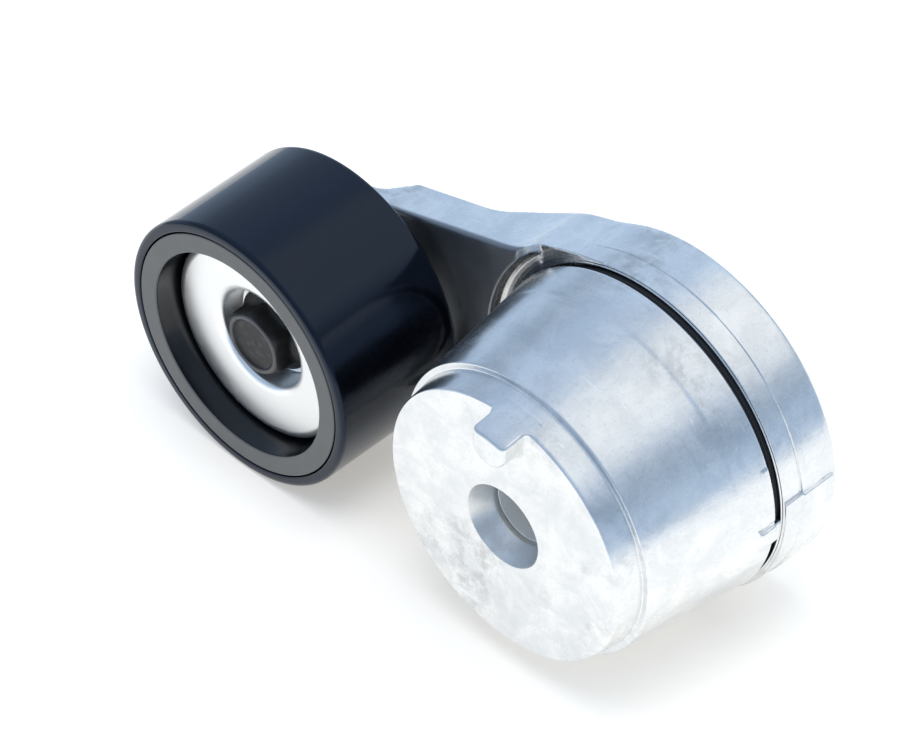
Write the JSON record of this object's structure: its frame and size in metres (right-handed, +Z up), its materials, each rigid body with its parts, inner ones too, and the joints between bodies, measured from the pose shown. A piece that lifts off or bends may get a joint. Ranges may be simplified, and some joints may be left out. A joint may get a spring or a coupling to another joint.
{
  "type": "belt tensioner idler",
  "caption": "Automatic belt tensioner: cast spring case with bolt bore and locating tab, sprung swing arm, and a flat idler pulley on a ball bearing.",
  "frame": {"origin": "centre of the bolt bore in the plane of the mounting face", "axes": "+Y along the main pivot axis from the mounting face to the arm, -X from the main axis to the pulley, +Z up with the part lying on its side"},
  "size_m": [0.1802, 0.0764, 0.0928],
  "materials": {
    "cast_aluminium": "satin as-cast, mottled",
    "zinc_steel": "bright zinc plated",
    "black_shell": "smooth black, satin gloss",
    "black_hub": "turned black face, satin",
    "black_bolt": "black phosphate",
    "bearing_steel": "ground",
    "spring_steel": "dark shot-peened",
    "polymer": "moulded nylon",
    "rubber": "matt"
  },
  "bodies": {
    "base": {"spring_case": "cast_aluminium", "pivot_shaft": "zinc_steel", "retaining_plate": "zinc_steel", "torsion_spring": "spring_steel", "dust_seal": "polymer"},
    "arm": {"arm_casting": "cast_aluminium", "pivot_bushing_rear": "polymer", "pivot_bushing_front": "polymer", "thrust_washer": "polymer", "spring_sleeve": "polymer", "damping_shoe": "polymer", "friction_lining": "rubber", "pulley_bolt": "black_bolt", "front_dust_shield": "zinc_steel", "rear_dust_shield": "zinc_steel", "bearing_sleeve": "bearing_steel", "bearing_inner_ring": "bearing_steel"},
    "pulley": {"pulley_shell": "black_shell", "pulley_hub": "black_hub", "bearing_outer_ring": "bearing_steel", "bearing_seal_front": "rubber", "bearing_seal_rear": "rubber"},
    "ball_set": {"bearing_cage": "bearing_steel", "bearing_ball_1": "bearing_steel", "bearing_ball_2": "bearing_steel", "bearing_ball_3": "bearing_steel", "bearing_ball_4": "bearing_steel", "bearing_ball_5": "bearing_steel", "bearing_ball_6": "bearing_steel", "bearing_ball_7": "bearing_steel"}
  },
  "joints": [
    {"name": "arm_pivot", "type": "hinge", "parent": "base", "child": "arm", "pos_m": [0, 0, 0], "axis": [0, 1, 0], "range_deg": [0, 55], "stiffness_Nm_per_rad": 40, "springref_deg": -28.65, "deforming": ["torsion_spring"]},
    {"name": "pulley_spin", "type": "hinge", "parent": "arm", "child": "pulley", "pos_m": [-0.09492, 0.022, -0.0085], "axis": [0, 1, 0], "continuous": true},
    {"name": "ball_set_spin", "type": "hinge", "parent": "arm", "child": "ball_set", "pos_m": [-0.09492, 0.0257, -0.0085], "axis": [0, 1, 0], "continuous": true}
  ],
  "couplings": [
    {"joint": "ball_set_spin", "follows": "pulley_spin", "ratio": 0.6484}
  ]
}
